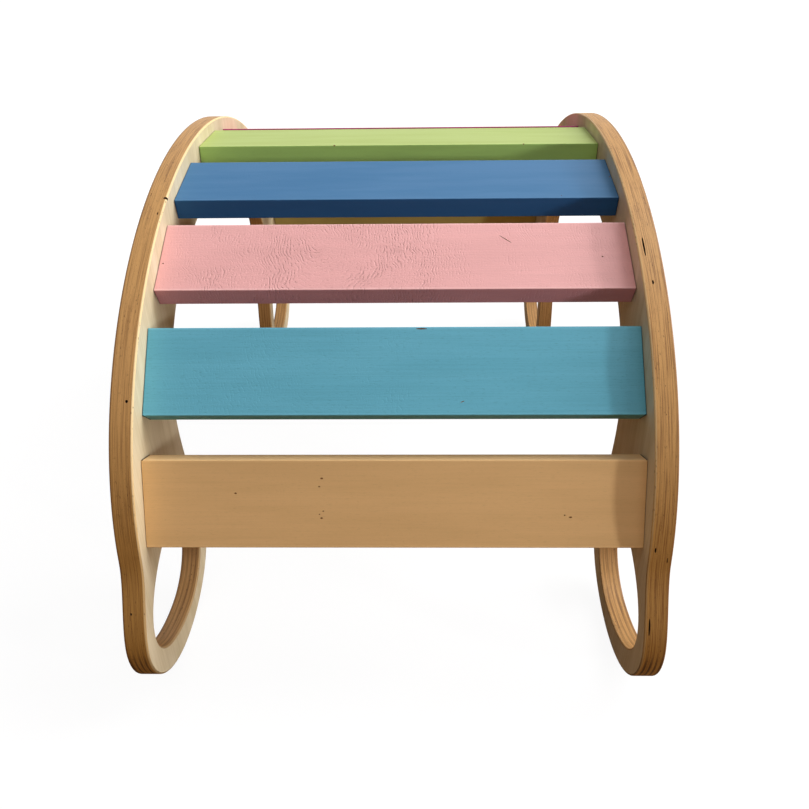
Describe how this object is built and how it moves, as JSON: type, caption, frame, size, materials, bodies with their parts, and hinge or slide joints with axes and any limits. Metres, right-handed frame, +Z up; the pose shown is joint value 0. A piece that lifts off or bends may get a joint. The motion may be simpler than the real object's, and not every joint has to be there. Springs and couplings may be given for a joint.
{
  "type": "toddler arch rocker",
  "caption": "Low wooden rocker and climbing arch: curved plywood sides with a looped foot and hand hole at each end, joined by flat painted slats.",
  "frame": {"origin": "on the floor, at the middle of the rocker's footprint", "axes": "+Z up, +X across the rocker along the slats, +Y along its length, away from the natural wood slat"},
  "size_m": [0.421, 0.7786, 0.388],
  "materials": {
    "birch_plywood": "clear lacquered, cut edges showing the plies",
    "natural_pine": "clear lacquered",
    "paint_teal": "satin paint over wood",
    "paint_pink": "satin paint over wood",
    "paint_blue": "satin paint over wood",
    "paint_lime": "satin paint over wood",
    "paint_magenta": "satin paint over wood",
    "paint_orange": "satin paint over wood",
    "paint_lilac": "satin paint over wood",
    "paint_yellow": "satin paint over wood",
    "zinc_plated_steel": "zinc plated"
  },
  "bodies": {
    "root": {"side_panel_left": "birch_plywood", "side_panel_right": "birch_plywood", "slat_1_natural": "natural_pine", "slat_2_teal": "paint_teal", "slat_3_pink": "paint_pink", "slat_4_blue": "paint_blue", "slat_5_lime": "paint_lime", "slat_6_magenta": "paint_magenta", "slat_7_orange": "paint_orange", "slat_8_lilac": "paint_lilac", "slat_9_yellow": "paint_yellow", "screw_left_1a": "zinc_plated_steel", "screw_left_1b": "zinc_plated_steel", "screw_left_2a": "zinc_plated_steel", "screw_left_2b": "zinc_plated_steel", "screw_left_3a": "zinc_plated_steel", "screw_left_3b": "zinc_plated_steel", "screw_left_4a": "zinc_plated_steel", "screw_left_4b": "zinc_plated_steel", "screw_left_5a": "zinc_plated_steel", "screw_left_5b": "zinc_plated_steel", "screw_left_6a": "zinc_plated_steel", "screw_left_6b": "zinc_plated_steel", "screw_left_7a": "zinc_plated_steel", "screw_left_7b": "zinc_plated_steel", "screw_left_8a": "zinc_plated_steel", "screw_left_8b": "zinc_plated_steel", "screw_left_9a": "zinc_plated_steel", "screw_left_9b": "zinc_plated_steel", "screw_right_1a": "zinc_plated_steel", "screw_right_1b": "zinc_plated_steel", "screw_right_2a": "zinc_plated_steel", "screw_right_2b": "zinc_plated_steel", "screw_right_3a": "zinc_plated_steel", "screw_right_3b": "zinc_plated_steel", "screw_right_4a": "zinc_plated_steel", "screw_right_4b": "zinc_plated_steel", "screw_right_5a": "zinc_plated_steel", "screw_right_5b": "zinc_plated_steel", "screw_right_6a": "zinc_plated_steel", "screw_right_6b": "zinc_plated_steel", "screw_right_7a": "zinc_plated_steel", "screw_right_7b": "zinc_plated_steel", "screw_right_8a": "zinc_plated_steel", "screw_right_8b": "zinc_plated_steel", "screw_right_9a": "zinc_plated_steel", "screw_right_9b": "zinc_plated_steel"}
  },
  "joints": []
}
